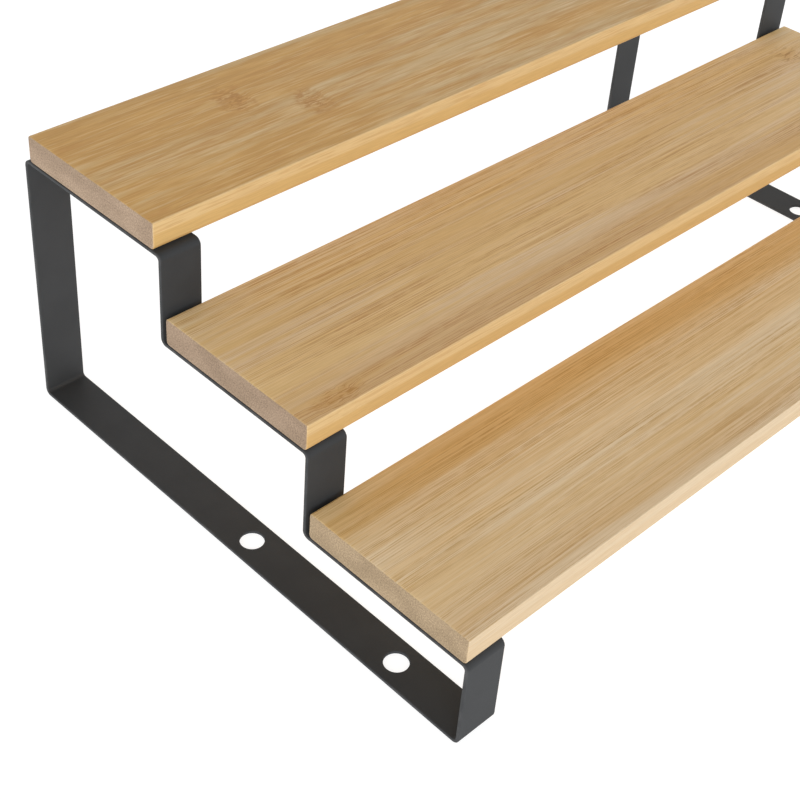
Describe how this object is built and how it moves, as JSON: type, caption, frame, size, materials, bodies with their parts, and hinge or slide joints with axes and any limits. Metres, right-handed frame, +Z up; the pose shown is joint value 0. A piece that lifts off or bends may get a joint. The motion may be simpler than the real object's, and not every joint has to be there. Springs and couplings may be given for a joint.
{
  "type": "tiered shelf riser",
  "caption": "Stepped shelf riser: bamboo boards rise to the back on bent flat-strip steel side frames, for jars, bottles and small pots.",
  "frame": {"origin": "middle of the footprint, on the surface that the riser stands on", "axes": "+X along the boards to the riser's right, -Y towards the user at the low front step, +Z up"},
  "size_m": [0.406, 0.254, 0.1328],
  "materials": {
    "side_frame": "fine matt charcoal powder coat",
    "shelf_board": "clear satin lacquer on laminated bamboo",
    "screw": "black zinc plated"
  },
  "bodies": {
    "root": {"side_frame_left": "side_frame", "side_frame_right": "side_frame", "shelf_board_front": "shelf_board", "shelf_board_middle": "shelf_board", "shelf_board_top": "shelf_board", "screw_front_left": "screw", "screw_front_right": "screw", "screw_middle_left": "screw", "screw_middle_right": "screw", "screw_top_left": "screw", "screw_top_right": "screw"}
  },
  "joints": []
}
